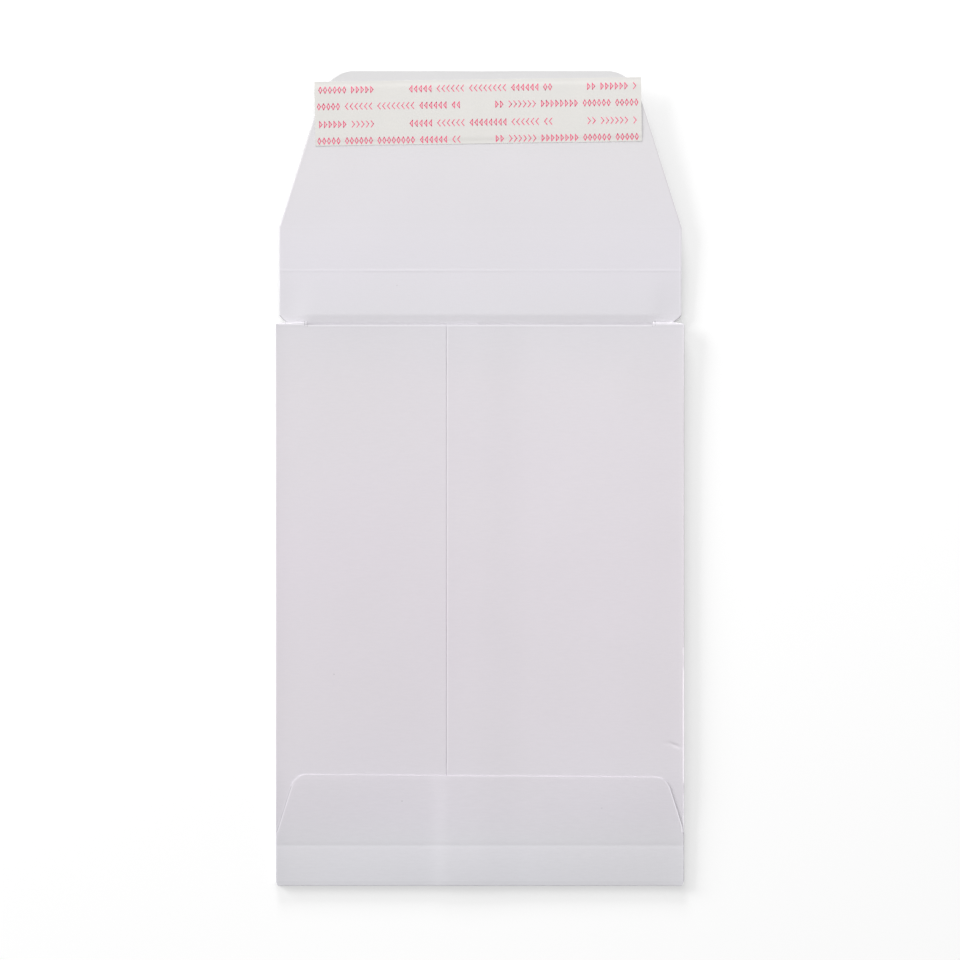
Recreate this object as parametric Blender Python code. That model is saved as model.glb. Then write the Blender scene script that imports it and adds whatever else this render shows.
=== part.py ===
# Gusseted pocket envelope with a peel-and-seal flap, lying on its front with the flap open.
# +Y runs from the bottom fold to the flap's tip, +X to the right seen from the back, and +Z up
# through the back panels. The origin is under the middle of the outline, on the table's surface.
# Lengths are metres and angles are degrees.

import math

import bmesh
import bpy

# Paper: one die-cut sheet
PAPER = 0.00016
FOLD_GAP = 0.00018
GLUE_GAP = 0.00005

# Body: the front panel between its two side folds, from the bottom fold to the hinge crease
BODY_WIDTH = 0.1635
BODY_LENGTH = 0.229
MOUTH_SETBACK = 0.0044
GUSSET_SETBACK = 0.0036
TUBE_SETBACK = 0.0016
LIFT_START = 0.130
MOUTH_LIFT = 0.001

# Side gussets: how deep they fold in, and how far the stack springs open
GUSSET_DEPTH = 0.0125
GUSSET_OPEN_ANGLE = 2.6
GUSSET_PRESSED_ANGLE = 0.3
PRESSED_LENGTH = 0.045
BACK_SAG = 0.0007

# Back seam: the right panel laps over the left one
SEAM_OFFSET = 0.0132
SEAM_LAP = 0.012
LAP_CLIMB = 0.006
LAP_FALL = 0.020

# Closure flap
FLAP_WIDTH = 0.1609
FLAP_LENGTH = 0.0971
FLAP_TAPER_ANGLE = 17.6
FLAP_TIP_RADIUS = 0.014
HINGE_CORNER_RADIUS = 0.0026
SECOND_CREASE = 0.0173
THIRD_CREASE = 0.0345
HINGE_ANGLE = 4.0
FLAP_ANGLES = (0.9, 1.3, 1.7)
SCORE_WIDTH = 0.0008
SCORE_HEIGHT = 0.00005

# Bottom flap, measured from the bottom fold
BOTTOM_FOLD_DEPTH = 0.00045
BASE_CREASE = 0.0162
BOTTOM_FLAP_END = 0.0443
BOTTOM_TAPER_START = 0.0203
BOTTOM_TAPER_ANGLE = 17.6
BOTTOM_FLAP_RADIUS = 0.006
BOTTOM_SKEW_ANGLE = 0.4

# Adhesive band and release liner, seated on the flap's inner side
LAYER_GAP = 0.0003
BAND_LENGTH = 0.112
BAND_WIDTH = 0.020
BAND_THICKNESS = 0.0001
LINER_LENGTH = 0.1306
LINER_WIDTH = 0.0255
LINER_THICKNESS = 0.00008
LINER_TILT_ANGLE = 0.85
LINER_SHIFT = -0.0007
LINER_FROM_TIP = 0.0162
LINER_CURL = 0.0004

# How finely the curved stretches are drawn
FOLD_STEPS = 6
CORNER_STEPS = 5
TIP_STEPS = 7

# Heights are those of the sheet's middle plane, so the front's outer face lies on the table
FLOOR_LEVEL = PAPER / 2
FOLD_RADIUS = (FOLD_GAP + PAPER) / 2
SIDE_EDGE = BODY_WIDTH / 2 - PAPER / 2 - FOLD_RADIUS
GUSSET_PANEL = GUSSET_DEPTH - 2 * FOLD_RADIUS - PAPER
MOUTH = BODY_LENGTH - MOUTH_SETBACK
GUSSET_TOP = BODY_LENGTH - GUSSET_SETBACK
OVERALL_LENGTH = BODY_LENGTH + FLAP_LENGTH
CENTRE_Y = OVERALL_LENGTH / 2
LAP_END = SEAM_LAP - SEAM_OFFSET


def smooth(value):
    t = min(max(value, 0.0), 1.0)
    return t * t * (3 - 2 * t)


def spread(start, end, steps):
    return [start + (end - start) * i / steps for i in range(steps + 1)]


def score(y, crease):
    # The raised line that a creasing rule leaves in the paper
    return SCORE_HEIGHT * max(0.0, 1 - abs(y - crease) / (SCORE_WIDTH / 2))


# Height of the front panel, which lies flat and then lifts a little towards the mouth, and of the
# flap, which springs up a little more at each crease
def front_height(y):
    creases = [MOUTH, BODY_LENGTH, BODY_LENGTH + SECOND_CREASE, BODY_LENGTH + THIRD_CREASE, math.inf]
    lifted = max(0.0, min(y, MOUTH) - LIFT_START) / (MOUTH - LIFT_START)
    height = FLOOR_LEVEL + MOUTH_LIFT * lifted ** 2
    for start, end, rise in zip(creases, creases[1:], (HINGE_ANGLE, *FLAP_ANGLES)):
        height += math.tan(math.radians(rise)) * max(0.0, min(y, end) - start)
    return height + score(y, creases[2]) + score(y, creases[3])


def gusset_slope(y):
    share = smooth((y - TUBE_SETBACK) / PRESSED_LENGTH)
    return math.radians(GUSSET_PRESSED_ANGLE + (GUSSET_OPEN_ANGLE - GUSSET_PRESSED_ANGLE) * share)


# Height of the back panels: the three folds on each side, and the two halves of the gusset
def back_height(x, y):
    slope = gusset_slope(y)
    stack = 2 * FOLD_RADIUS * (1 + 2 * math.cos(slope)) + 2 * GUSSET_PANEL * math.sin(slope)
    sag = BACK_SAG * smooth((y - TUBE_SETBACK) / PRESSED_LENGTH)
    return front_height(y) + stack - sag * (1 - (x / SIDE_EDGE) ** 2) ** 2


# The right panel lies on the left one by the seam, and comes down to its level further on
def right_back_height(x, y):
    climb = smooth((x + SEAM_OFFSET + LAP_CLIMB) / LAP_CLIMB)
    fall = smooth((x - LAP_END) / LAP_FALL)
    return back_height(x, y) + (PAPER + GLUE_GAP) * (climb - fall)


# The base crease is a groove, and the bottom of it still clears the back panels
def bottom_flap_height(x, y):
    clearance = GLUE_GAP + SCORE_HEIGHT - score(y, BASE_CREASE)
    return right_back_height(x, max(y, TUBE_SETBACK)) + PAPER + clearance


def arc(centre, radius, start, end, steps):
    turns = spread(math.radians(start), math.radians(end), steps)
    return [(centre[0] + radius * math.cos(a), centre[1] + radius * math.sin(a)) for a in turns]


# One side fold, gusset and side fold, as outward distances and heights from the front panel's
# edge up to the back panel's edge
def side_path(y):
    slope = math.degrees(gusset_slope(y))
    run = GUSSET_PANEL * math.cos(gusset_slope(y))
    climb = GUSSET_PANEL * math.sin(gusset_slope(y))
    path = arc((0, front_height(y) + FOLD_RADIUS), FOLD_RADIUS, -90, 90 - slope, FOLD_STEPS)
    out, up = path[-1]
    out, up = out - run, up + climb
    rise = math.radians(slope)
    inner = (out + FOLD_RADIUS * math.sin(rise), up + FOLD_RADIUS * math.cos(rise))
    path += arc(inner, FOLD_RADIUS, 270 - slope, 90 + slope, FOLD_STEPS)
    out, up = path[-1]
    out, up = out + run, up + climb
    outer = (out - FOLD_RADIUS * math.sin(rise), up + FOLD_RADIUS * math.cos(rise))
    return path + arc(outer, FOLD_RADIUS, slope - 90, 90, FOLD_STEPS)


# Rows (y, half width) of a tapered flap from where its taper starts to its end, whose corners are
# rounded by an arc that touches both the tapered side and the end
def tapered_rows(half_width, taper_start, taper, end, radius, plain_steps):
    lean = math.radians(taper)
    sharp_corner = half_width - math.tan(lean) * (end - taper_start)
    centre = (sharp_corner - radius * math.tan((math.pi / 2 - lean) / 2), end - radius)
    corner = arc(centre, radius, taper, 90, TIP_STEPS)
    x0, y0 = corner[0]
    sides = [(half_width + (x0 - half_width) * t, taper_start + (y0 - taper_start) * t)
             for t in spread(0, 1, plain_steps)]
    return [(y, x) for x, y in sides[:-1] + corner]


def flap_rows():
    half = FLAP_WIDTH / 2
    start = half - HINGE_CORNER_RADIUS
    rounding = arc((start, GUSSET_TOP + HINGE_CORNER_RADIUS), HINGE_CORNER_RADIUS, -90, 0, CORNER_STEPS)
    rows = [(y, x) for x, y in rounding[1:]]
    second = BODY_LENGTH + SECOND_CREASE
    third = BODY_LENGTH + THIRD_CREASE
    edge = SCORE_WIDTH / 2
    plain = [BODY_LENGTH, (BODY_LENGTH + second) / 2, second - edge, second, second + edge,
             (second + third) / 2, third - edge]
    rows += [(y, half) for y in plain]
    tapered = tapered_rows(half, third, FLAP_TAPER_ANGLE, OVERALL_LENGTH, FLAP_TIP_RADIUS, 4)
    beside = (third + edge, half - edge * math.tan(math.radians(FLAP_TAPER_ANGLE)))
    return rows + tapered[:1] + [beside] + tapered[1:]


def bottom_flap_rows():
    edge = SCORE_WIDTH / 2
    plain = spread(2 * TUBE_SETBACK, BASE_CREASE - edge, 3) + [BASE_CREASE, BASE_CREASE + edge]
    tapered = tapered_rows(SIDE_EDGE, BOTTOM_TAPER_START, BOTTOM_TAPER_ANGLE, BOTTOM_FLAP_END,
                           BOTTOM_FLAP_RADIUS, 3)
    return [(y, SIDE_EDGE) for y in plain] + tapered


def add_row(sheet, points):
    return [sheet.verts.new((x, y - CENTRE_Y, z)) for x, y, z in points]


def join_rows(sheet, lower, upper):
    for i in range(len(lower) - 1):
        sheet.faces.new((lower[i], lower[i + 1], upper[i + 1], upper[i]))


# The folded tube: left back panel, left gusset, front, right gusset and right back panel as rows
# of points, and the front's own stretch of each row
def add_tube(sheet, front_columns):
    left_back = spread(LAP_END, -SIDE_EDGE + MOUTH_SETBACK, 9)
    right_back = spread(SIDE_EDGE - MOUTH_SETBACK, LAP_END + LAP_FALL, 5)
    right_back += spread(LAP_END + LAP_FALL, LAP_END, 4)[1:] + [-SEAM_OFFSET]
    pressed = spread(TUBE_SETBACK, TUBE_SETBACK + PRESSED_LENGTH, 8)
    rows = []
    for y in pressed + spread(pressed[-1], GUSSET_TOP, 10)[1:]:
        back_y = TUBE_SETBACK + (y - TUBE_SETBACK) * (MOUTH - TUBE_SETBACK) / (GUSSET_TOP - TUBE_SETBACK)
        side = side_path(y)
        points = [(x, back_y, back_height(x, back_y)) for x in left_back]
        points += [(-SIDE_EDGE - out, y, up) for out, up in reversed(side[1:])]
        points += [(x, y, front_height(y)) for x in front_columns]
        points += [(SIDE_EDGE + out, y, up) for out, up in side[1:]]
        points += [(x, back_y, right_back_height(x, back_y)) for x in right_back]
        first = len(left_back) + len(side) - 1
        row = add_row(sheet, points)
        if rows:
            join_rows(sheet, rows[-1][0], row)
        rows.append((row, row[first:first + len(front_columns)]))
    return rows[0][1], rows[-1][1]


def add_closure_flap(sheet, lower, columns):
    for y, half in flap_rows():
        upper = add_row(sheet, [(x * half / columns[-1], y, front_height(y)) for x in columns])
        join_rows(sheet, lower, upper)
        lower = upper


# From the front's lower end round the bottom fold and up over the back panels
def add_bottom_flap(sheet, upper, columns):
    for out, up in arc((0, 0), 1, -90, -270, 2 * FOLD_STEPS):
        y = PAPER / 2 + BOTTOM_FOLD_DEPTH * (1 + out)
        points = []
        for x in columns:
            half_height = (bottom_flap_height(x, TUBE_SETBACK) - FLOOR_LEVEL) / 2
            points.append((x, y, FLOOR_LEVEL + half_height * (1 + up)))
        lower = add_row(sheet, points)
        join_rows(sheet, lower, upper)
        upper = lower
    skew = math.tan(math.radians(BOTTOM_SKEW_ANGLE))
    for y, half in bottom_flap_rows():
        share = max(0.0, (y - BASE_CREASE) / (BOTTOM_FLAP_END - BASE_CREASE))
        points = []
        for column in columns:
            x = column * half / SIDE_EDGE
            skewed = y - skew * x * share
            points.append((x, skewed, bottom_flap_height(x, skewed)))
        lower = add_row(sheet, points)
        join_rows(sheet, lower, upper)
        upper = lower


def principled(name, colour, roughness):
    material = bpy.data.materials.new(name)
    material.use_nodes = True
    shader = material.node_tree.nodes["Principled BSDF"]
    shader.inputs["Base Color"].default_value = (*colour, 1.0)
    shader.inputs["Roughness"].default_value = roughness
    shader.inputs["Metallic"].default_value = 0.0
    material.diffuse_color = (*colour, 1.0)
    return material


# A thin sheet of even thickness, half of it on each side of the middle plane that was drawn
def sheet_object(name, sheet, thickness, material):
    bmesh.ops.recalc_face_normals(sheet, faces=sheet.faces)
    mesh = bpy.data.meshes.new(name)
    sheet.to_mesh(mesh)
    sheet.free()
    mesh.materials.append(material)
    mesh.shade_smooth()
    mesh.set_sharp_from_angle(angle=math.radians(40))
    obj = bpy.data.objects.new(name, mesh)
    bpy.context.scene.collection.objects.link(obj)
    solidify = obj.modifiers.new("paper thickness", "SOLIDIFY")
    solidify.thickness = thickness
    solidify.offset = 0.0
    solidify.use_even_offset = True
    return obj


def make_envelope_blank():
    notch = FLAP_WIDTH / 2 - HINGE_CORNER_RADIUS
    flap_columns = spread(-notch, notch, 12)
    front_columns = [-SIDE_EDGE, *flap_columns, SIDE_EDGE]
    sheet = bmesh.new()
    bottom, top = add_tube(sheet, front_columns)
    add_closure_flap(sheet, top[1:-1], flap_columns)
    add_bottom_flap(sheet, bottom, front_columns)
    paper = principled("white paper", (0.80, 0.78, 0.81), 0.85)
    return sheet_object("envelope_blank", sheet, PAPER, paper)


# A strip on the flap's inner side, turned a little and lifted clear of what it lies on. Its ends
# curl away from the flap by `curl`
def make_strip(name, length, width, thickness, lift, curl, material):
    tilt = math.radians(LINER_TILT_ANGLE)
    centre_y = OVERALL_LENGTH - LINER_FROM_TIP
    sheet = bmesh.new()
    lower = []
    for v in spread(-width / 2, width / 2, 2):
        points = []
        for u in spread(-length / 2, length / 2, 12):
            x = LINER_SHIFT + u * math.cos(tilt) - v * math.sin(tilt)
            y = centre_y + u * math.sin(tilt) + v * math.cos(tilt)
            points.append((x, y, front_height(y) + lift + curl * abs(2 * u / length) ** 6))
        upper = add_row(sheet, points)
        if lower:
            join_rows(sheet, lower, upper)
        lower = upper
    return sheet_object(name, sheet, thickness, material)


def clear_scene():
    for obj in list(bpy.data.objects):
        bpy.data.objects.remove(obj, do_unlink=True)


def main():
    clear_scene()
    make_envelope_blank()
    band_lift = PAPER / 2 + LAYER_GAP + BAND_THICKNESS / 2
    liner_lift = band_lift + BAND_THICKNESS / 2 + LAYER_GAP + LINER_THICKNESS / 2
    tape = principled("pressure-sensitive adhesive", (0.78, 0.74, 0.62), 0.35)
    coated = principled("coated liner paper", (0.81, 0.79, 0.75), 0.5)
    make_strip("adhesive_band", BAND_LENGTH, BAND_WIDTH, BAND_THICKNESS, band_lift, 0.0, tape)
    make_strip("release_liner", LINER_LENGTH, LINER_WIDTH, LINER_THICKNESS, liner_lift, LINER_CURL, coated)


main()
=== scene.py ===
# A white gusseted pocket envelope, lying on its front with the closure flap open, on a pale floor.
# Metres throughout. Along the envelope, y is counted from its bottom fold, the frame's lowest y.

import heapq
import math
import random

import bmesh
import bpy
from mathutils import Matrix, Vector, noise


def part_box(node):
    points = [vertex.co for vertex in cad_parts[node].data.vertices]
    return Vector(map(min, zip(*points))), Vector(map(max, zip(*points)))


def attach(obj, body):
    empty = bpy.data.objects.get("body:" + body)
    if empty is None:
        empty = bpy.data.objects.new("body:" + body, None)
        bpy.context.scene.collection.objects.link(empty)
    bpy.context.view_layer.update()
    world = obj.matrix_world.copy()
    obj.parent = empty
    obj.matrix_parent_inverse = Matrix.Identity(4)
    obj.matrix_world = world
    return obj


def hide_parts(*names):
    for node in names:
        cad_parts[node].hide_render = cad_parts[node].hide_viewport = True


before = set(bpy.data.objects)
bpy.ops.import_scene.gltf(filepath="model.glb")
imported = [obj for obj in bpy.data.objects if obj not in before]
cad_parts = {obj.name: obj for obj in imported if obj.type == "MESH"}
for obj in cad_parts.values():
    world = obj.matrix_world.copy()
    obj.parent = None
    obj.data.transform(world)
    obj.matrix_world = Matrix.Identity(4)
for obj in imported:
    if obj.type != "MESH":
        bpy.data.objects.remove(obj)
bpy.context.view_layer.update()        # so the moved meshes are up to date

low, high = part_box("envelope_blank")
print("frame loaded:", ", ".join(sorted(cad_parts)))


# Camera and light

view = dict(
    framePixels=960,            # the photo's side
    pixelSize=0.00040025,       # metres of envelope to a photo pixel
    bodyMiddle=(479.93, 886.1), # photo pixel of the bottom fold's middle
    height=1.5,
    lookedAt=0.002,             # the back panels' height
    sensor=0.036,
    nearest=0.01,
)

rig = dict(
    worldLevel=0.450,
    # place, size and power of each lamp: two far soft boxes that rake over the paper,
    # and a near one
    lamps={
        "left box": ((-2.58, 1.37, 0.675), (1.9, 0.8), 110.0),
        "upper box": ((-0.41, 2.92, 0.547), (1.0, 0.45), 76.0),
        "near lamp": ((0.18, 0.42, 0.45), (0.3, 0.3), 0.55),
    },
)


def addCamera():
    camera = bpy.data.cameras.new("camera")
    frameWidth = view["framePixels"] * view["pixelSize"]
    camera.sensor_width = view["sensor"] * 1000
    camera.lens = (view["height"] - view["lookedAt"]) * view["sensor"] / frameWidth * 1000
    camera.clip_start = view["nearest"]
    x = (view["framePixels"] / 2 - view["bodyMiddle"][0]) * view["pixelSize"]
    y = low.y + (view["bodyMiddle"][1] - view["framePixels"] / 2) * view["pixelSize"]
    holder = bpy.data.objects.new("camera", camera)
    holder.location = (x, y, view["height"])
    bpy.context.scene.collection.objects.link(holder)
    bpy.context.scene.camera = holder


def addLamp(name, place, size, power):
    lamp = bpy.data.lights.new(name, "AREA")
    lamp.shape = "RECTANGLE"
    lamp.size, lamp.size_y = size
    lamp.energy = power
    holder = bpy.data.objects.new(name, lamp)
    holder.location = place
    holder.rotation_euler = (-Vector(place)).to_track_quat("-Z", "Y").to_euler()
    holder.visible_camera = False
    bpy.context.scene.collection.objects.link(holder)


# Shader maths: a wire is a socket that can be added, multiplied and so on

class Wire:
    def __init__(self, tree, socket=None):
        self.tree = tree
        self.socket = socket

    def node(self, kind, settings=None, sockets=None, out=0):
        made = self.tree.nodes.new(kind)
        for name, value in (settings or {}).items():
            if name == "stops":
                ramp = made.color_ramp
                while len(ramp.elements) < len(value):
                    ramp.elements.new(0.5)
                for stop, (place, colour) in zip(ramp.elements, value):
                    stop.position = place
                    stop.color = colour
            else:
                setattr(made, name, value)
        for name, value in (sockets or {}).items():
            if isinstance(value, Wire):
                self.tree.links.new(value.socket, made.inputs[name])
            else:
                made.inputs[name].default_value = value
        return Wire(self.tree, made.outputs[out])

    def math(self, operation, *values):
        return self.node("ShaderNodeMath", dict(operation=operation), dict(enumerate(values)))

    def __add__(self, other):
        return self.math("ADD", self, other)

    def __radd__(self, other):
        return self.math("ADD", other, self)

    def __sub__(self, other):
        return self.math("SUBTRACT", self, other)

    def __rsub__(self, other):
        return self.math("SUBTRACT", other, self)

    def __mul__(self, other):
        return self.math("MULTIPLY", self, other)

    def __rmul__(self, other):
        return self.math("MULTIPLY", other, self)

    def ramp(self, start, end):            # 0 at start and 1 at end, held beyond both
        return self.node("ShaderNodeMapRange", dict(interpolation_type="SMOOTHSTEP"),
                         {"Value": self, "From Min": start, "From Max": end})

    def window(self, start, end, soft):    # 1 between start and end
        return self.ramp(start - soft, start + soft) * (1 - self.ramp(end - soft, end + soft))

    def parts(self):                       # x, y and z of a vector
        split = self.node("ShaderNodeSeparateXYZ", None, {0: self})
        return [Wire(self.tree, socket) for socket in split.socket.node.outputs]

    def stretched(self, factors):
        return self.node("ShaderNodeVectorMath", dict(operation="MULTIPLY"), {0: self, 1: factors})

    def clouds(self, size, detail=2.0, roughness=0.5):     # noise of about that size in metres
        return self.node("ShaderNodeTexNoise", None, {
            "Vector": self, "Scale": 1 / size, "Detail": detail, "Roughness": roughness})


def mixed(mask, first, second):            # the second colour where the mask is 1
    return mask.node("ShaderNodeMix", dict(data_type="RGBA"), {0: mask, 6: first, 7: second}, out=2)


def scaled(colour, level):                 # a colour made lighter or darker by a level
    return colour.node("ShaderNodeVectorMath", dict(operation="SCALE"), {0: colour, "Scale": level})


def linear(red, green, blue):              # a colour given as screen values from 0 to 255
    def light(value):
        share = value / 255
        return share / 12.92 if share <= 0.04045 else ((share + 0.055) / 1.055) ** 2.4
    return (light(red), light(green), light(blue), 1.0)


def newMaterial(name, **constants):
    material = bpy.data.materials.new(name)
    material.use_nodes = True
    shader = material.node_tree.nodes["Principled BSDF"]
    for socket, value in constants.items():
        shader.inputs[socket.replace("_", " ")].default_value = value
    return material, shader, Wire(material.node_tree)


def feed(shader, socket, wire):
    wire.tree.links.new(wire.socket, shader.inputs[socket])


# Floor and world

floorLook = dict(size=8.0, depth=-0.0002, colour=0.68, roughness=0.9, lift=0.385)


def seenShare(start):
    # 1 for what the camera sees, in a mirror or through glass too, and 0 for light on the object
    rays = start.node("ShaderNodeLightPath").socket.node.outputs
    seen = Wire(start.tree, rays["Is Camera Ray"]) + Wire(start.tree, rays["Is Glossy Ray"])
    return seen + Wire(start.tree, rays["Is Transmission Ray"])


def makeFloor():
    half = floorLook["size"] / 2
    mesh = bpy.data.meshes.new("floor")
    corners = [(-half, -half), (half, -half), (half, half), (-half, half)]
    mesh.from_pydata([(x, y, floorLook["depth"]) for x, y in corners], [], [(0, 1, 2, 3)])
    floor = bpy.data.objects.new("floor", mesh)
    bpy.context.scene.collection.objects.link(floor)
    grey = floorLook["colour"]
    material, shader, start = newMaterial(
        "pale floor", Base_Color=(grey, grey, grey, 1.0), Roughness=floorLook["roughness"],
        Specular_IOR_Level=0.0, Emission_Strength=1.0)
    # what looks at the floor sees it a little paler than the lamps make it, shadow and all
    feed(shader, "Emission Color", seenShare(start) * floorLook["lift"])
    mesh.materials.append(material)


def lightWorld():
    world = bpy.data.worlds.new("studio")
    world.use_nodes = True
    bpy.context.scene.world = world
    background = world.node_tree.nodes["Background"]
    level = rig["worldLevel"]
    seen = seenShare(Wire(world.node_tree))
    feed(background, "Color", mixed(seen, (level, level, level, 1.0), (1.0, 1.0, 1.0, 1.0)))


# The blank: one die-cut sheet, folded and glued

blank = dict(
    paper=0.00016,
    foldGap=0.00018, glueGap=0.00005,     # between the layers at a fold, and where they are glued
    bodyLength=0.2287,                    # from the bottom fold to the hinge crease
    mouthSetback=0.0041, gussetSetback=0.0031,    # how far below the hinge the layers end
    tubeSetback=0.0016,
    cornerDip=0.0006, dipFrom=0.0788, dipOver=0.0018,      # the side folds end lower than the gussets
    cornerRise=0.0003, riseFrom=0.0695, riseOver=0.0012,   # and the back higher above them
    cornerReach=0.0012,
    liftStart=0.130, mouthLift=0.0015,    # the front lifts towards the mouth
    gussetDepth=0.0125, openAngle=2.6, mouthAngle=1.4, pressedAngle=0.3, pressedLength=0.045,
    backSag=0.0007,
    seamOffset=0.0132, seamLap=0.012, lapClimb=0.006, lapFall=0.020,
    flapWidth=0.1609, flapTaper=17.6, flapTipRadius=0.014, flapTipGap=0.00008,
    flapShift=0.0002, shiftOver=0.002,    # the closure flap stands a little to the right
    secondCrease=0.0176, thirdCrease=0.0348, hingeAngle=4.6, flapAngles=(0.9, 1.3, 1.7),
    hingeCorner=(0.0034, 0.0028), cornerPower=1.2,         # the corners cut beside the notches
    earStart=0.068, earWidth=0.008,       # where the hinge is hardly pressed
    earShare=0.85, earLength=0.02,
    baseCrease=0.0162, bottomEnd=0.0441, bottomTaperStart=0.0203, bottomTaper=17.6,
    bottomOut=0.0007, outOver=0.004,      # how much further out its right side comes to lie
    bottomRadius=0.006, bottomSkew=0.4, bottomFoldDepth=0.0002,
    bottomEndDip=0.00002, dipReach=0.0014,
    bottomCorner=0.0012,                  # radius of the bottom fold's corners
    creaseRadius=0.0005,                  # how softly the sheet turns at a crease
    scoreHalf=0.00045,                    # half width of a creasing rule's raised line
    scoreHeights=(0.00003, 0.000010),     # at the flap's second and third creases
    scoreFirm=0.8, scoreWander=0.5, scoreGrain=(90, 50),
    grooveHalf=0.0010, grooveDepth=0.00003,       # at the base crease
    baseDome=0.00012,                     # how far the base panel bulges
    foldRidge=0.00014, ridgeWidth=0.0030,         # how far the side folds stand above the panels
    edgeDrop=0.00003, edgeReach=0.0004,   # how a cut edge is pressed down by the die
    gluedDrop=0.25, gluedMargin=0.0005,   # share of that at the bottom flap's glued edge
    rimHeight=0.00001, rimFrom=0.0006, rimHalf=0.0002,     # and the burr it leaves inside that
    gussetRoll=0.00008, rollReach=0.0009,         # how the gussets' upper ends curl down
    # the panel below is pressed in along the seam's cut edge
    furrow=0.00008, furrowFrom=-0.00045, furrowIn=0.0004, furrowTo=0.0008, furrowOut=0.0006,
    # slow unevenness of the panels, with its scales along x and y and a seed, and the flap's share
    waves=0.00006, slowWaves=(22, 16, 3.1), quickWaves=(60, 45, 7.7), quickShare=0.35,
    flapWaves=1.6, flapWavesOver=0.03,
    # the dent near the lower right fold: x, y, half length, half width, depth and turn
    dent=(0.0780, 0.0564, 0.0028, 0.0006, -0.00014, -24.0),
)

# spacing of the blank's mesh: on plain stretches, and offsets from cut edges, creases and folds
meshing = dict(
    step=0.0025, flapStep=0.002, bottomFrom=0.0012,
    cut=(0.0, 0.0001, 0.0002, 0.0003, 0.00042, 0.0006, 0.0008, 0.0012),
    crease=(0.0, 0.0002, 0.0004, 0.0006, 0.0009, 0.0013, 0.0018),
    fold=(0.0003, 0.0007, 0.0013, 0.0022, 0.0034, 0.005),
    mouth=(0.0003,),
    dentColumns=(0.0005, 0.001, 0.0015, 0.002),
    dentRow=0.0004, dentRows=9,
    foldSteps=8, panelSteps=3, cornerSteps=10, earSteps=6,
)

paperHalf = blank["paper"] / 2
foldRadius = (blank["foldGap"] + blank["paper"]) / 2
sideEdge = high.x - paperHalf - foldRadius
gussetPanel = blank["gussetDepth"] - 2 * foldRadius - blank["paper"]
mouth = blank["bodyLength"] - blank["mouthSetback"]
gussetTop = blank["bodyLength"] - blank["gussetSetback"]
secondCrease = blank["bodyLength"] + blank["secondCrease"]
thirdCrease = blank["bodyLength"] + blank["thirdCrease"]
flapEnd = high.y - low.y - blank["flapTipGap"]
seamEdge = -blank["seamOffset"]
lapEnd = seamEdge + blank["seamLap"]


def smooth(value):
    t = min(max(value, 0.0), 1.0)
    return t * t * (3 - 2 * t)


def places(start, end, step, marks=()):
    # from start to end at most a step apart, and close together round each mark (place, offsets)
    fixed = [start, end]
    for mark, offsets in marks:
        fixed += [mark + side * offset for offset in offsets for side in (-1, 1)]
    ordered = [start]
    for place in sorted(fixed):
        if start + 0.00005 < place < end - 0.00005 and place > ordered[-1] + 0.00005:
            ordered.append(place)
    ordered.append(end)
    filled = [start]
    for a, b in zip(ordered, ordered[1:]):
        count = math.ceil((b - a) / step)
        filled += [a + (b - a) * i / count for i in range(1, count + 1)]
    return filled


def arc(centre, radius, start, end, steps):
    points = []
    for i in range(steps + 1):
        turn = math.radians(start + (end - start) * i / steps)
        points.append((centre[0] + radius * math.cos(turn), centre[1] + radius * math.sin(turn)))
    return points


def squareArc(centre, radius, start, end, steps):
    # a fold that has been pressed: squarer than an arc of the same width
    points = []
    for dx, dy in arc((0, 0), 1, start, end, steps):
        reach = radius / (abs(dx) ** 3 + abs(dy) ** 3) ** (1 / 3)
        points.append((centre[0] + reach * dx, centre[1] + reach * dy))
    return points


def bend(y, crease):
    # 0 before the crease, y - crease after it, and a soft turn between
    soft = blank["creaseRadius"]
    if y <= crease - soft:
        return 0.0
    if y >= crease + soft:
        return y - crease
    return (y - crease + soft) ** 2 / (4 * soft)


def frontHeight(y):
    creases = [mouth, blank["bodyLength"], secondCrease, thirdCrease]
    angles = [0.0, blank["hingeAngle"], *blank["flapAngles"]]
    lifted = max(0.0, min(y, mouth) - blank["liftStart"]) / (mouth - blank["liftStart"])
    height = paperHalf + blank["mouthLift"] * lifted ** 2
    for crease, before, after in zip(creases, angles, angles[1:]):
        turn = math.tan(math.radians(after)) - math.tan(math.radians(before))
        height += turn * bend(y, crease)
    return height


def gussetSlope(y):
    # the stack springs open above the pressed bottom, and less so where the front lifts
    opened = smooth((y - blank["tubeSetback"]) / blank["pressedLength"])
    closed = smooth((y - blank["liftStart"]) / (mouth - blank["liftStart"]))
    angle = blank["pressedAngle"] + (blank["openAngle"] - blank["pressedAngle"]) * opened
    return math.radians(angle + (blank["mouthAngle"] - blank["openAngle"]) * closed)


def stackHeight(y):
    slope = gussetSlope(y)
    return 2 * foldRadius * (1 + 2 * math.cos(slope)) + 2 * gussetPanel * math.sin(slope)


def backHeight(x, y):
    sag = blank["backSag"] * smooth((y - blank["tubeSetback"]) / blank["pressedLength"])
    ridge = blank["foldRidge"] * (1 - math.exp(-(sideEdge - abs(x)) / blank["ridgeWidth"]))
    return frontHeight(y) + stackHeight(y) - sag * (1 - (x / sideEdge) ** 2) ** 2 - ridge


def leftBackHeight(x, y):
    pressed = smooth((x - seamEdge - blank["furrowFrom"]) / blank["furrowIn"])
    pressed *= 1 - smooth((x - seamEdge - blank["furrowTo"]) / blank["furrowOut"])
    return backHeight(x, y) - blank["furrow"] * pressed


def rightBackHeight(x, y):
    # lies on the left panel by the seam, and comes down to its level further on
    climb = smooth((x - seamEdge + blank["lapClimb"]) / blank["lapClimb"])
    fall = smooth((x - lapEnd) / blank["lapFall"])
    return backHeight(x, y) + (blank["paper"] + blank["glueGap"]) * (climb - fall)


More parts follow.
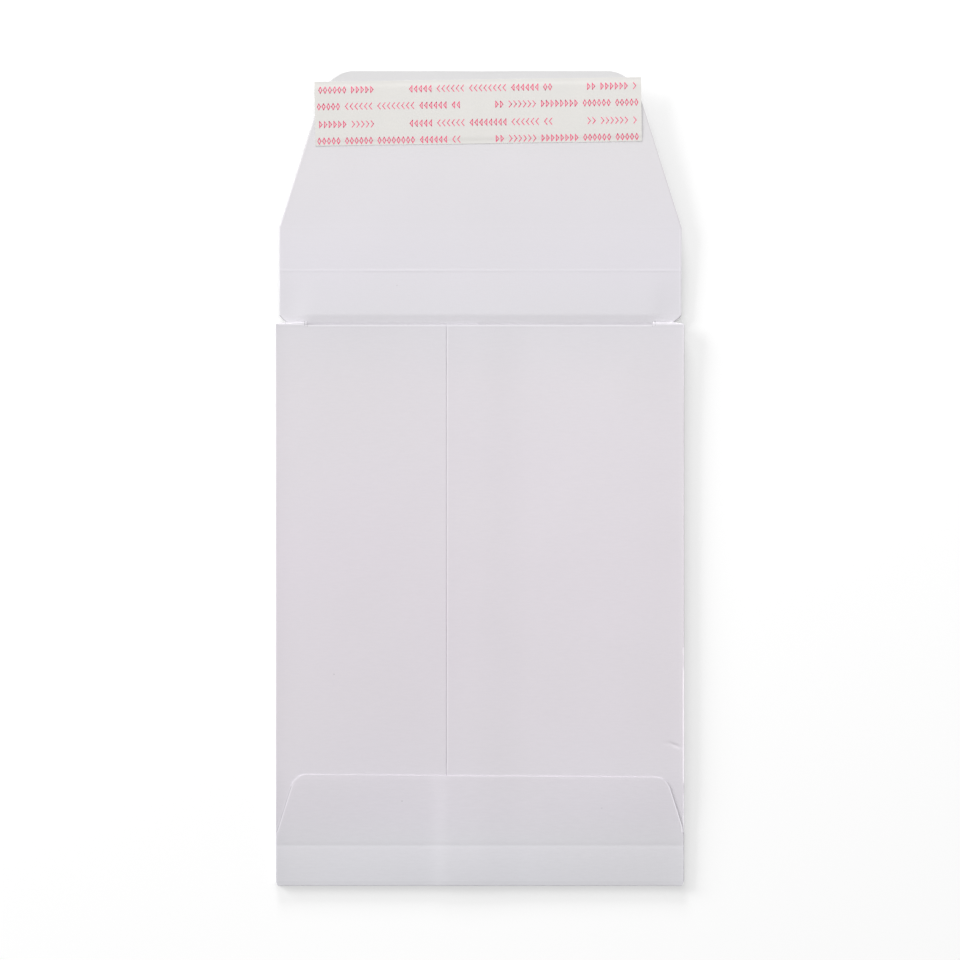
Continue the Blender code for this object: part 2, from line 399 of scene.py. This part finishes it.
def bottomFlapHeight(x, y):
    crease = blank["baseCrease"]
    base = rightBackHeight(x, max(y, blank["tubeSetback"])) + blank["paper"] + blank["glueGap"]
    groove = blank["grooveDepth"] * (1 - math.exp(-((y - crease) / blank["grooveHalf"]) ** 2))
    dome = blank["baseDome"] * math.sin(math.pi * min(max(y / crease, 0.0), 1.0))
    dip = blank["bottomEndDip"] * (1 - smooth((blank["bottomEnd"] - y) / blank["dipReach"]))
    return base + groove + dome - dip + waves(x, y)


def scoreLine(x, y):
    # the raised line of a creasing rule, which comes and goes along the crease
    height = 0.0
    alongX, alongY = blank["scoreGrain"]
    for crease, full in zip((secondCrease, thirdCrease), blank["scoreHeights"]):
        if abs(y - crease) < 4 * blank["scoreHalf"]:
            wander = noise.noise(Vector((x * alongX, crease * alongY, 0.0)))
            firm = blank["scoreFirm"] + blank["scoreWander"] * wander
            height += full * firm * math.exp(-((y - crease) / blank["scoreHalf"]) ** 2)
    return height


def waves(x, y):
    def swell(alongX, alongY, seed):
        return noise.noise(Vector((x * alongX, y * alongY, seed)))

    slow = swell(*blank["slowWaves"])
    quick = swell(*blank["quickWaves"])
    return blank["waves"] * (slow + blank["quickShare"] * quick)


def flapWaves(x, y):
    grown = smooth((y - blank["bodyLength"]) / blank["flapWavesOver"])
    return blank["flapWaves"] * grown * waves(x, y)


def earDrop(x, y):
    # the hinge isn't pressed as firmly in the flap's ears, which so lie lower
    beside = smooth((abs(x) - blank["earStart"]) / blank["earWidth"])
    run = max(0.0, min(y, blank["bodyLength"]) - gussetTop)
    risen = math.tan(math.radians(blank["hingeAngle"])) * run
    faded = 1 - smooth((y - blank["bodyLength"]) / blank["earLength"])
    return blank["earShare"] * beside * risen * faded


def dentAt(x, y):
    dentX, dentY, halfLength, halfWidth, depth, turn = blank["dent"]
    a = math.radians(turn)
    along = (x - dentX) * math.cos(a) + (y - dentY) * math.sin(a)
    across = (y - dentY) * math.cos(a) - (x - dentX) * math.sin(a)
    return depth * math.exp(-(along / halfLength) ** 2 - (across / halfWidth) ** 2)


def sidePath(y):
    # side fold, gusset and side fold, as distances out from the panel's edge and heights
    rise = gussetSlope(y)
    slope = math.degrees(rise)
    steps, flat = meshing["foldSteps"], meshing["panelSteps"]
    run, climb = gussetPanel * math.cos(rise), gussetPanel * math.sin(rise)

    def straight(path, direction):
        out, up = path[-1]
        return [(out + direction * run * i / flat, up + climb * i / flat)
                for i in range(1, flat + 1)]

    path = squareArc((0, frontHeight(y) + foldRadius), foldRadius, -90, 90 - slope, steps)
    path += straight(path, -1)
    out, up = path[-1]
    inner = (out + foldRadius * math.sin(rise), up + foldRadius * math.cos(rise))
    path += arc(inner, foldRadius, 270 - slope, 90 + slope, steps)[1:]
    path += straight(path, 1)
    out, up = path[-1]
    outer = (out - foldRadius * math.sin(rise), up + foldRadius * math.cos(rise))
    path += squareArc(outer, foldRadius, slope - 90, 90, steps)[1:]

    # the upper end curls down, all along the upper half of the gusset
    curl = blank["gussetRoll"] * max(0.0, 1 - (gussetTop - y) / blank["rollReach"]) ** 2
    first = 2 * steps + flat + 1
    curled = []
    for i, (out, up) in enumerate(path):
        before, after = (i - first + steps) / steps, (len(path) - 1 - i) / steps
        curled.append((out, up - curl * min(max(min(before, after), 0.0), 1.0)))
    return curled


def taperedHalf(y, half, start, taper, end, radius):
    # half width of a tapered flap whose end has rounded corners
    lean = math.radians(taper)
    corner = half - math.tan(lean) * (end - start)
    centre = (corner - radius * math.tan((math.pi / 2 - lean) / 2), end - radius)
    if y <= start:
        return half
    if y <= centre[1] + radius * math.sin(lean):
        return half - math.tan(lean) * (y - start)
    return centre[0] + math.sqrt(max(radius ** 2 - (y - centre[1]) ** 2, 0.0))


def flapHalf(y):
    half = blank["flapWidth"] / 2
    cornerWidth, cornerHeight = blank["hingeCorner"]
    if y < gussetTop + cornerHeight:
        # an ear's corner, cut nearly straight
        share = min((gussetTop + cornerHeight - y) / cornerHeight, 1.0)
        power = blank["cornerPower"]
        return half - cornerWidth * (1 - (1 - share ** power) ** (1 / power))
    return taperedHalf(y, half, thirdCrease, blank["flapTaper"], flapEnd, blank["flapTipRadius"])


def bottomHalf(y):
    return taperedHalf(y, sideEdge, blank["bottomTaperStart"], blank["bottomTaper"],
                       blank["bottomEnd"], blank["bottomRadius"])


def outwardRows():
    # where the bottom flap's right side starts to lie further out, and where it does in full
    return blank["bottomTaperStart"], blank["bottomTaperStart"] + blank["outOver"]


def roundedSteps(radius, steps):
    # distances before the end of a flap at which its rounded corner is drawn
    return [radius * (1 - math.sin(math.pi / 2 * i / steps)) for i in range(steps + 1)]


def columnsAcross(half):
    # x of each point across a flap, the outer ones at set distances from its cut edges
    near = [half - step for step in meshing["cut"]]
    inner = near[-1]
    count = 2 * round(blank["flapWidth"] / 2 / meshing["step"])
    middle = [-inner + 2 * inner * i / count for i in range(1, count)]
    return [-x for x in near] + middle + near[::-1]


def addRow(sheet, points):
    return [sheet.verts.new((x, low.y + y, z)) for x, y, z in points]


def joinRows(sheet, lower, upper):
    for i in range(len(lower) - 1):
        sheet.faces.new((lower[i], lower[i + 1], upper[i + 1], upper[i]))


def addTube(sheet, frontColumns):
    tube = blank["tubeSetback"]
    dentX, dentY = blank["dent"][:2]
    leftBack = places(-sideEdge, lapEnd, meshing["step"], (
        (-sideEdge, meshing["fold"]), (seamEdge, meshing["cut"])))[:0:-1]
    rightBack = places(seamEdge, sideEdge, meshing["step"], (
        (seamEdge, meshing["cut"]), (sideEdge, meshing["fold"]),
        (dentX, meshing["dentColumns"])))[-2::-1]
    dentRows = [meshing["dentRow"] * i for i in range(meshing["dentRows"])]
    rows = places(tube, gussetTop, meshing["step"], (
        (gussetTop, meshing["cut"]), (mouth, meshing["mouth"]), (dentY, dentRows)))
    built = []
    for y in rows:
        side = sidePath(y)
        share = (y - tube) / (gussetTop - tube)

        def dip(x):
            # the side folds end a little below the rest of the gussets
            return blank["cornerDip"] * smooth((abs(x) - blank["dipFrom"]) / blank["dipOver"])

        def back(x, height):
            # and so do the back panels, though less over the gussets
            risen = blank["cornerRise"] * smooth((abs(x) - blank["riseFrom"]) / blank["riseOver"])
            full = gussetTop - mouth - risen
            inside = min((sideEdge - abs(x)) / blank["cornerReach"], 1.0)
            at = y - share * max(dip(x), full * inside)
            return (x, at, height(x, at) + waves(x, at) + dentAt(x, at))

        fold = [(sideEdge + out, y - share * dip(sideEdge + out), up) for out, up in side[1:]]
        points = [back(x, leftBackHeight) for x in leftBack]
        points += [(-x, at, up) for x, at, up in reversed(fold)]
        points += [(x, y - share * dip(x), frontHeight(y)) for x in frontColumns]
        points += fold
        points += [back(x, rightBackHeight) for x in rightBack]
        first = len(leftBack) + len(side) - 1
        row = addRow(sheet, points)
        if built:
            joinRows(sheet, built[-1][0], row)
        built.append((row, row[first:first + len(frontColumns)]))
    return built[0][1], built[-1][1]


def addClosureFlap(sheet, lower):
    marks = ((blank["bodyLength"], meshing["crease"]), (secondCrease, meshing["crease"]),
             (thirdCrease, meshing["crease"]), (flapEnd, meshing["cut"][1:]),
             (flapEnd, roundedSteps(blank["flapTipRadius"], meshing["cornerSteps"])),
             (gussetTop, roundedSteps(blank["hingeCorner"][1], meshing["earSteps"])))
    for y in places(gussetTop, flapEnd, meshing["flapStep"], marks)[1:]:
        shift = blank["flapShift"] * smooth((y - gussetTop) / blank["shiftOver"])
        points = []
        for x in columnsAcross(flapHalf(y)):
            up = frontHeight(y) + scoreLine(x, y) + flapWaves(x, y) - earDrop(x, y)
            points.append((x + shift, y, up))
        upper = addRow(sheet, points)
        joinRows(sheet, lower, upper)
        lower = upper


def cornerShare(y):
    # share of the width that is left at the bottom fold's rounded corners
    radius = blank["bottomCorner"]
    return 1 - (radius - math.sqrt(radius ** 2 - max(radius - y, 0.0) ** 2)) / sideEdge


def addBottomFlap(sheet, upper, columns):
    depth = blank["bottomFoldDepth"]
    for out, up in squareArc((0, 0), 1, -90, -270, 2 * meshing["foldSteps"]):
        points = []
        for x in columns:
            half = (bottomFlapHeight(x, paperHalf + depth) - paperHalf) / 2
            y = paperHalf + depth * (1 + out)
            points.append((x * cornerShare(y), y, paperHalf + half * (1 + up)))
        lower = addRow(sheet, points)
        joinRows(sheet, lower, upper)
        upper = lower
    skew = math.tan(math.radians(blank["bottomSkew"]))
    crease = blank["baseCrease"]
    marks = ((crease, meshing["crease"]), (blank["bottomEnd"], meshing["cut"][1:]),
             (blank["bottomEnd"], roundedSteps(blank["bottomRadius"], meshing["cornerSteps"])))
    for y in places(meshing["bottomFrom"], blank["bottomEnd"], meshing["flapStep"], marks):
        share = max(0.0, (y - crease) / (blank["bottomEnd"] - crease))
        points = []
        for column in columns:
            half = bottomHalf(y)
            if column > 0:
                start, full = outwardRows()
                outward = blank["bottomOut"] * smooth((y - start) / (full - start))
                half = min(half + outward, sideEdge)
            x = column * half / sideEdge
            at = y - skew * x * share
            points.append((x, at, bottomFlapHeight(x, at)))
        lower = addRow(sheet, points)
        joinRows(sheet, lower, upper)
        upper = lower


def pressCutEdges(sheet):
    # the die presses the sheet down a little along every cut edge, and bares its fibres there
    reach = blank["edgeReach"]
    farthest = blank["rimFrom"] + 3 * blank["rimHalf"]
    sheet.verts.index_update()
    sheet.verts.ensure_lookup_table()
    nearest = {v.index: 0.0 for v in sheet.verts if v.is_boundary}
    heap = [(0.0, index) for index in nearest]
    heapq.heapify(heap)
    while heap:
        far, index = heapq.heappop(heap)
        if far > nearest[index]:
            continue
        vert = sheet.verts[index]
        for edge in vert.link_edges:
            other = edge.other_vert(vert)
            there = far + edge.calc_length()
            if there < min(farthest, nearest.get(other.index, farthest)):
                nearest[other.index] = there
                heapq.heappush(heap, (there, other.index))
    # nearness to a cut edge, a mask for the paler fibres with their painted highlight and for painted
    # shade at the ears and taper
    cutMask = sheet.verts.layers.float.new("cutEdge")
    for index, far in nearest.items():
        vert = sheet.verts[index]
        vert[cutMask] = math.exp(-(far / reach) ** 2)
        if vert.co.z > 2 * paperHalf:          # the front panel stays flat on the floor
            rim = blank["rimHeight"] * math.exp(-((far - blank["rimFrom"]) / blank["rimHalf"]) ** 2)
            glued = vert.co.y < low.y + blank["bottomEnd"] + blank["gluedMargin"]
            drop = blank["edgeDrop"] * (blank["gluedDrop"] if glued else 1.0)
            vert.co.z += rim - drop * max(0.0, 1 - far / reach) ** 2


# Paper of the blank

paperLook = dict(
    roughness=0.86, specular=0.18,
    # tint along the envelope, from the bottom fold to the flap's tip, in metres and screen values;
    # part of its darkening towards the bottom is painted shade for the light's fall-off
    tintsAndFalloff=((0.000, (224, 224, 230)), (0.016, (225, 224, 230)), (0.030, (227, 223, 231)),
           (0.070, (228, 222, 229)), (0.130, (229, 222, 230)), (0.200, (230, 225, 231)),
           (0.229, (227, 225, 231)), (0.250, (230, 227, 234)), (0.290, (231, 228, 232)),
           (0.326, (224, 224, 224))),
    warmTint=(226, 223, 225), warmShare=0.5, warmSize=0.06,
    level=0.978,
    cloudSize=0.045, cloudGain=0.03,      # cloudy formation of the sheet
    fibreSize=0.0007, fibreStretch=0.22, fibreGain=0.036,  # fibres, which lie across it
    grainSize=0.00045, grainGain=0.014,
    # how strong the fibres are on the bottom flap, on the back and on the closure flap
    fibreStrength=(1.7, 1.2, 0.5), backFrom=(0.040, 0.050), flapFrom=(0.226, 0.236),
    bumpStrength=0.35, bumpDepth=0.00004, fibreShare=0.6,
    # dark fibres in the sheet: x, y, radius and depth
    specks=((-0.0584, 0.0848, 0.00032, 0.30), (-0.0312, 0.0340, 0.00030, 0.35),
            (-0.0332, 0.2404, 0.00030, 0.18), (0.0488, 0.0312, 0.00028, 0.25)),
    speckCore=0.4,
    cutPaleAndHighlight=0.030,                        # how much paler cut edges are: their bare fibres, and partly a painted highlight
    # painted highlights and painted shade: x from and to, y from and to, and what is added to the
    # level
    areas=dict(
        paintedFoldHighlight=(0.0812, 0.0820, 0.0215, 0.0955, 0.38),     # painted highlight on the right fold, broken into patches
        paintedFoldLight=(0.0813, 0.0822, 0.0215, 0.2256, 0.12),   # painted highlight along all of that fold, lightening its shaded side
        paintedBaseFoldLight=(0.0814, 0.0822, 0.0008, 0.0215, 0.12),   # and at its end by the base panel
        # painted highlight inside the closure flap's right edge
        paintedFlapHighlight=(0.0797, 0.0810, 0.2290, 0.2630, 0.04),
        # painted highlight on the back's edge at the mouth, and painted shade just beyond it
        paintedMouthHighlight=(-0.0690, 0.0690, 0.2239, 0.2246, 0.04),
        paintedMouthShade=(-0.0690, 0.0690, 0.2246, 0.2258, -0.03),
        # painted highlight on the bottom fold, and painted shade on the bend above it
        paintedBottomHighlight=(-0.0812, 0.0812, -0.0010, 0.0003, 0.12),
        paintedBendShade=(-0.0812, 0.0812, 0.0003, 0.0019, -0.035),
        # painted shade beside the seam's cut edge, and a painted highlight on that edge
        paintedSeamShade=(-0.01362, -0.01320, 0.0442, 0.2244, -0.12),
        paintedSeamHighlight=(-0.01315, -0.01280, 0.0442, 0.2244, 0.012),
        # painted shade in the notches and at their ends
        paintedNotchShade=(0.0699, 0.0703, 0.2243, 0.2262, -0.24),
        paintedNotchEndShade=(0.0688, 0.0692, 0.2238, 0.2262, -0.12),
        paintedEarShade=(0.0708, 0.0820, 0.2258, 0.2285, -0.42),   # painted shade along the cut edges of the flap's ears
        paintedTaperShade=(0.0480, 0.0810, 0.2636, 0.3120, -0.07), # painted shade along the cut edge of its taper
        # painted highlight round the bottom flap's corners
        paintedCornerHighlight=(0.0690, 0.0770, 0.0399, 0.0446, 0.10),
        # painted highlight inside and painted shade outside the bottom flap's slanted sides, with
        # distances out from them in place of x
        paintedSlantHighlight=(-0.00045, -0.00008, 0.0215, 0.0400, 0.15),
        paintedSlantShade=(0.00005, 0.00036, 0.0215, 0.0400, -0.18),
    ),
    areaSoft=0.00007, mouthSoft=0.0001, bendSoft=0.0002,
    slantRight=(1.5, 0.35),               # shares of those two on the right side
    earFade=(0.0705, 0.0790),
    middleSoft=0.02,                      # between the left and the right half
    upperFrom=(0.0007, 0.0010),           # heights where the upper layers' painted light and shade come in
    # patches that break up the painted highlight on the right fold
    highlightBreakSize=0.009, highlightBreakFrom=(0.30, 0.55),
)


def makePaper():
    look = paperLook
    material, shader, start = newMaterial("white envelope paper", Roughness=look["roughness"],
                                          Specular_IOR_Level=look["specular"])
    place = start.node("ShaderNodeTexCoord", out="Object")
    x, y, z = place.parts()
    along = y - low.y
    length = high.y - low.y
    # tints along the envelope, part of whose darkening towards the bottom is painted shade for the
    # light's fall-off
    tintsAndFalloff = [(at / length, linear(*colour)) for at, colour in look["tintsAndFalloff"]]
    colour = start.node("ShaderNodeValToRGB", dict(stops=tintsAndFalloff), {0: along * (1 / length)})
    warm = place.clouds(look["warmSize"], detail=1.0)
    colour = mixed(warm * look["warmShare"], colour, linear(*look["warmTint"]))

    cloud = place.clouds(look["cloudSize"], detail=3.0)
    fibre = place.stretched((look["fibreStretch"], 1.0, 1.0)).clouds(look["fibreSize"])
    grain = place.clouds(look["grainSize"], detail=1.0)
    base, back, flap = look["fibreStrength"]
    coarse = base + along.ramp(*look["backFrom"]) * (back - base)
    coarse = coarse + along.ramp(*look["flapFrom"]) * (flap - back)
    level = look["level"] + cloud * look["cloudGain"] + grain * look["grainGain"]
    level = level + (fibre - 0.5) * coarse * look["fibreGain"]

    def area(name, side, soft=look["areaSoft"]):
        x0, x1, y0, y1, gain = look["areas"][name]
        return side.window(x0, x1, soft) * along.window(y0, y1, soft) * gain

    # folds, cut edges, the mouth, the seam and the notches: painted highlights and painted shade,
    # with cut edges also paler for their bare fibres
    # nearness to a cut edge: bare fibres made paler, partly as a painted highlight, and the mask for
    # painted shade at the ears and taper
    cut = start.node("ShaderNodeAttribute", dict(attribute_name="cutEdge"), out="Fac")
    across = x.math("ABSOLUTE", x)
    upper = z.ramp(*look["upperFrom"])
    # the painted highlight on the right fold, broken into patches, comes in below with the cut edges
    highlightBreak = place.clouds(look["highlightBreakSize"], detail=3.0).ramp(*look["highlightBreakFrom"])
    level = level + cut * look["cutPaleAndHighlight"] + area("paintedFoldHighlight", x) * highlightBreak
    # painted highlight along the right fold, lightening its shaded side
    level = level + (area("paintedFoldLight", x) + area("paintedBaseFoldLight", x)) * upper
    # painted highlight on the bottom fold and painted shade on the bend above it
    level = level + area("paintedBottomHighlight", x) + area("paintedBendShade", x, look["bendSoft"])
    # painted highlights at the flap's right edge and the mouth's edge, and painted shade below the
    # mouth
    level = level + area("paintedFlapHighlight", x) + area("paintedMouthHighlight", x)
    level = level + area("paintedMouthShade", x, look["mouthSoft"])
    # painted highlight on the seam's cut edge and painted shade beside it
    level = level + (area("paintedSeamHighlight", x) + area("paintedSeamShade", x)) * upper
    # painted shade in the notches and at their ends
    level = level + (area("paintedNotchShade", across) + area("paintedNotchEndShade", across)) * upper
    # painted shade along the cut edges of the flap's ears
    level = level + area("paintedEarShade", across) * cut * across.ramp(*look["earFade"])
    # painted shade along the taper's cut edge, and a painted highlight round the bottom flap's
    # corners
    level = level + area("paintedTaperShade", x) * cut + area("paintedCornerHighlight", across) * cut * upper

    # distance out from the bottom flap's slanted sides, halfway up which half its skew has come in
    right = x.ramp(-look["middleSoft"], look["middleSoft"])
    slope = math.tan(math.radians(blank["bottomTaper"]))
    skew = math.tan(math.radians(blank["bottomSkew"])) / 2
    outward = right * along.ramp(*outwardRows()) * blank["bottomOut"]
    slant = across + (along + x * skew - blank["bottomTaperStart"]) * slope - sideEdge - outward
    # painted highlight just inside the slanted sides and painted shade just outside them, weighted
    # apart on the right
    for name, share in zip(("paintedSlantHighlight", "paintedSlantShade"), look["slantRight"]):
        level = level + area(name, slant) * (1 + right * (share - 1)) * upper

    flat = place.stretched((1.0, 1.0, 0.0))
    for atX, atY, radius, depth in look["specks"]:
        far = start.node("ShaderNodeVectorMath", dict(operation="DISTANCE"),
                         {0: flat, 1: (atX, low.y + atY, 0.0)}, out="Value")
        level = level - far.ramp(radius, radius * look["speckCore"]) * depth
    feed(shader, "Base Color", scaled(colour, level))

    share = look["fibreShare"]
    bump = start.node("ShaderNodeBump", None, {
        "Strength": look["bumpStrength"], "Distance": look["bumpDepth"],
        "Height": fibre * share + grain * (1 - share)})
    feed(shader, "Normal", bump)
    return material


# Sheets get their thickness, and the blank is put together

sharpAngle = 40


def sheetPiece(name, sheet, thickness, *materials):
    bmesh.ops.recalc_face_normals(sheet, faces=sheet.faces)
    mesh = bpy.data.meshes.new(name)
    sheet.to_mesh(mesh)
    sheet.free()
    for material in materials:
        mesh.materials.append(material)
    piece = bpy.data.objects.new(name, mesh)
    bpy.context.scene.collection.objects.link(piece)
    solid = piece.modifiers.new("thickness", "SOLIDIFY")
    solid.thickness = thickness
    solid.offset = 0.0
    solid.use_even_offset = True
    thick = piece.evaluated_get(bpy.context.evaluated_depsgraph_get())
    solidMesh = bpy.data.meshes.new_from_object(thick)
    piece.modifiers.clear()
    piece.data = solidMesh
    solidMesh.name = name
    solidMesh.shade_smooth()
    solidMesh.set_sharp_from_angle(angle=math.radians(sharpAngle))
    return piece


def makeBlank(paper):
    flapColumns = columnsAcross(flapHalf(gussetTop))
    notch = flapColumns[-1]
    beside = [notch + (sideEdge - notch) * share for share in (0.25, 0.5, 0.75, 1.0)]
    frontColumns = [-x for x in reversed(beside)] + flapColumns + beside
    sheet = bmesh.new()
    bottom, top = addTube(sheet, frontColumns)
    addClosureFlap(sheet, top[len(beside):-len(beside)])
    addBottomFlap(sheet, bottom, frontColumns)
    pressCutEdges(sheet)
    piece = sheetPiece("folded_blank", sheet, blank["paper"], paper)
    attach(piece, "root")
    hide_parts("envelope_blank")
    print("folded blank:", len(piece.data.polygons), "faces")


# Adhesive strip and release liner

strip = dict(
    fromTip=0.0162, shift=-0.0007, tilt=0.85,
    bandLength=0.112, bandWidth=0.020, bandThickness=0.00006,
    linerLength=0.1306, linerWidth=0.0255, linerThickness=0.00005,
    gap=0.00001, curl=0.00003,
    downOver=0.002,                       # how soon the liner comes down beside the adhesive
    ripple=0.00003, rippleGrain=(130, 35), rippleHalf=0.010,
    edgeWander=0.00008, wanderGrain=60,
    stepAcross=0.0005, stepAlong=0.0015, edgeSteps=(0.0, 0.0003, 0.0008),
)


def stripPoint(u, v):
    # a place on the strip, u along it and v across it, as x and y on the flap
    tilt = math.radians(strip["tilt"])
    x = strip["shift"] + u * math.cos(tilt) - v * math.sin(tilt)
    y = flapEnd - strip["fromTip"] + u * math.sin(tilt) + v * math.cos(tilt)
    return x, y


def stripHeight(u, v, lift, curl):
    # beside the adhesive a strip comes down to the flap
    x, y = stripPoint(u, v)
    beside = smooth((abs(v) - strip["bandWidth"] / 2) / strip["downOver"])
    down = (strip["bandThickness"] + strip["gap"]) * beside
    alongU, alongV = strip["rippleGrain"]
    ripple = strip["ripple"] * noise.noise(Vector((u * alongU, v * alongV, 1.3)))
    ripple *= 1 - smooth((abs(v) - strip["rippleHalf"]) / strip["downOver"])
    end = curl * abs(2 * u / strip["linerLength"]) ** 6
    return frontHeight(y) + flapWaves(x, y) + lift - down + ripple + end


def makeStrip(name, length, width, thickness, lift, curl, *materials):
    sheet = bmesh.new()
    lower = []

    def spread(size, step):
        marks = ((-size / 2, strip["edgeSteps"]), (size / 2, strip["edgeSteps"]))
        return places(-size / 2, size / 2, step, marks)

    columns = spread(length, strip["stepAlong"])
    for v in spread(width, strip["stepAcross"]):
        points = []
        for u in columns:
            # the cut edges aren't quite straight
            seed = Vector((u * strip["wanderGrain"], math.copysign(5.0, v), 0.4))
            wander = strip["edgeWander"] * noise.noise(seed)
            x, y = stripPoint(u, v + wander * abs(2 * v / width))
            points.append((x, y, stripHeight(u, v, lift, curl)))
        upper = addRow(sheet, points)
        if lower:
            joinRows(sheet, lower, upper)
        lower = upper
    return sheetPiece(name, sheet, thickness, *materials)


def makeAdhesive():
    material, shader, start = newMaterial("pale adhesive", Roughness=0.3, Specular_IOR_Level=0.5)
    place = start.node("ShaderNodeTexCoord", out="Object")
    cloud = place.clouds(0.006, detail=2.0)
    feed(shader, "Base Color", mixed(cloud, linear(222, 216, 196), linear(230, 226, 212)))
    bump = start.node("ShaderNodeBump", None, {"Strength": 0.5, "Distance": 0.00006,
                                               "Height": place.clouds(0.0016, detail=2.0)})
    feed(shader, "Normal", bump)
    lift = paperHalf + strip["gap"] + strip["bandThickness"] / 2
    piece = makeStrip("adhesive_strip", strip["bandLength"], strip["bandWidth"],
                      strip["bandThickness"], lift, 0.0, material)
    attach(piece, "root")
    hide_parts("adhesive_band")
    print("adhesive strip made")


printing = dict(
    height=0.0027, stroke=0.00036, pitch=0.001907, space=0.8, film=0.000012, cuts=4,
    groups=(2, 6, 8, 6, 5),               # marks between two spaces
    period=0.0712,
    # v of each row's middle, u where its first group starts, and which way that group faces
    rows=((0.0094, -0.0990, 1), (0.0028, -0.0646, -1),
          (-0.0043, -0.0990, 1), (-0.0109, -0.0646, -1)),
)


def markStrokes(kind):
    # strokes of one small mark, as ends within a box one pitch wide and one mark high
    chevron = [((-0.26, -0.45), (0.24, 0.0)), ((0.24, 0.0), (-0.26, 0.45))]
    diamond = [((-0.32, 0.0), (0.0, 0.45)), ((0.0, 0.45), (0.32, 0.0)),
               ((0.32, 0.0), (0.0, -0.45)), ((0.0, -0.45), (-0.32, 0.0))]
    wedge = chevron + [((-0.26, -0.45), (-0.26, 0.45))]
    return (chevron, diamond, wedge)[kind]


def printMarks(lift):
    # thin films of ink: rows of small generic marks, turned round after every stretch of groups
    random.seed(11)
    sheet = bmesh.new()
    halfLength = (strip["linerLength"] - printing["pitch"]) / 2
    for rowV, u0, facing in printing["rows"]:
        while u0 < halfLength:
            slot = 0
            for count in printing["groups"][::facing]:
                kind = random.choice((0, 1, 2))
                for _ in range(count):
                    centre = (u0 + (slot + 0.5) * printing["pitch"], rowV)
                    if abs(centre[0]) < halfLength:
                        for a, b in markStrokes(kind):
                            addStroke(sheet, centre, a, b, facing, lift)
                    slot += 1
                slot += printing["space"]
            u0 += printing["period"]
            facing = -facing
    return sheet


def addStroke(sheet, centre, a, b, facing, lift):
    # a short bar that follows the liner's surface
    pitch, height = facing * printing["pitch"], printing["height"]
    (u1, v1), (u2, v2) = [(centre[0] + x * pitch, centre[1] + y * height) for x, y in (a, b)]
    size = math.hypot(u2 - u1, v2 - v1)
    du = (u2 - u1) / size * printing["stroke"] / 2
    dv = (v2 - v1) / size * printing["stroke"] / 2
    cuts = printing["cuts"]
    line = []
    for i in range(cuts + 1):
        share = i / cuts
        line.append((u1 - du + (u2 - u1 + 2 * du) * share, v1 - dv + (v2 - v1 + 2 * dv) * share))
    outline = [(u + dv, v - du) for u, v in line] + [(u - dv, v + du) for u, v in reversed(line)]
    film = strip["linerThickness"] / 2
    rings = []
    for rise in (-film * 0.5, film + printing["film"]):
        ring = []
        for u, v in outline:
            x, y = stripPoint(u, v)
            ring.append((x, y, stripHeight(u, v, lift, strip["curl"]) + rise))
        rings.append(addRow(sheet, ring))
    lower, upper = rings
    for i in range(cuts):
        sheet.faces.new((upper[i], upper[i + 1], upper[-2 - i], upper[-1 - i]))
        sheet.faces.new((lower[i + 1], lower[i], lower[-1 - i], lower[-2 - i]))
    for i in range(len(outline)):
        sheet.faces.new((lower[i - 1], lower[i], upper[i], upper[i - 1]))


def makeLiner():
    paper, shader, start = newMaterial("coated liner paper", Roughness=0.42,
                                       Specular_IOR_Level=0.35)
    place = start.node("ShaderNodeTexCoord", out="Object")
    cloud = place.clouds(0.012, detail=3.0)
    fibre = place.stretched((0.3, 1.0, 1.0)).clouds(0.0009, detail=2.0)
    mottle = cloud * 0.7 + fibre * 0.3
    feed(shader, "Base Color", mixed(mottle, linear(227, 226, 223), linear(232, 229, 225)))
    feed(shader, "Normal", start.node("ShaderNodeBump", None, {
        "Strength": 0.3, "Distance": 0.00003, "Height": fibre}))

    ink, shader, start = newMaterial("pink printing ink", Roughness=0.5, Specular_IOR_Level=0.3)
    place = start.node("ShaderNodeTexCoord", out="Object")
    patch = place.clouds(0.0008, detail=2.0).ramp(0.35, 0.75)
    feed(shader, "Base Color", mixed(patch, linear(240, 92, 128), linear(248, 146, 171)))

    lift = paperHalf + 2 * strip["gap"] + strip["bandThickness"] + strip["linerThickness"] / 2
    piece = makeStrip("release_liner_sheet", strip["linerLength"], strip["linerWidth"],
                      strip["linerThickness"], lift, strip["curl"], paper, ink)
    marks = printMarks(lift)
    joined = bmesh.new()
    joined.from_mesh(piece.data)
    bmesh.ops.recalc_face_normals(marks, faces=marks.faces)
    markMesh = bpy.data.meshes.new("marks")
    for face in marks.faces:
        face.material_index = 1
    marks.to_mesh(markMesh)
    marks.free()
    joined.from_mesh(markMesh)
    bpy.data.meshes.remove(markMesh)
    joined.to_mesh(piece.data)
    joined.free()
    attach(piece, "root")
    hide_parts("release_liner")
    print("release liner:", len(piece.data.polygons), "faces")


addCamera()
lightWorld()
for name, (place, size, power) in rig["lamps"].items():
    addLamp(name, place, size, power)
makeFloor()
bpy.context.scene.view_settings.view_transform = "Standard"
print("camera, lamps and floor placed")

makeBlank(makePaper())
makeAdhesive()
makeLiner()
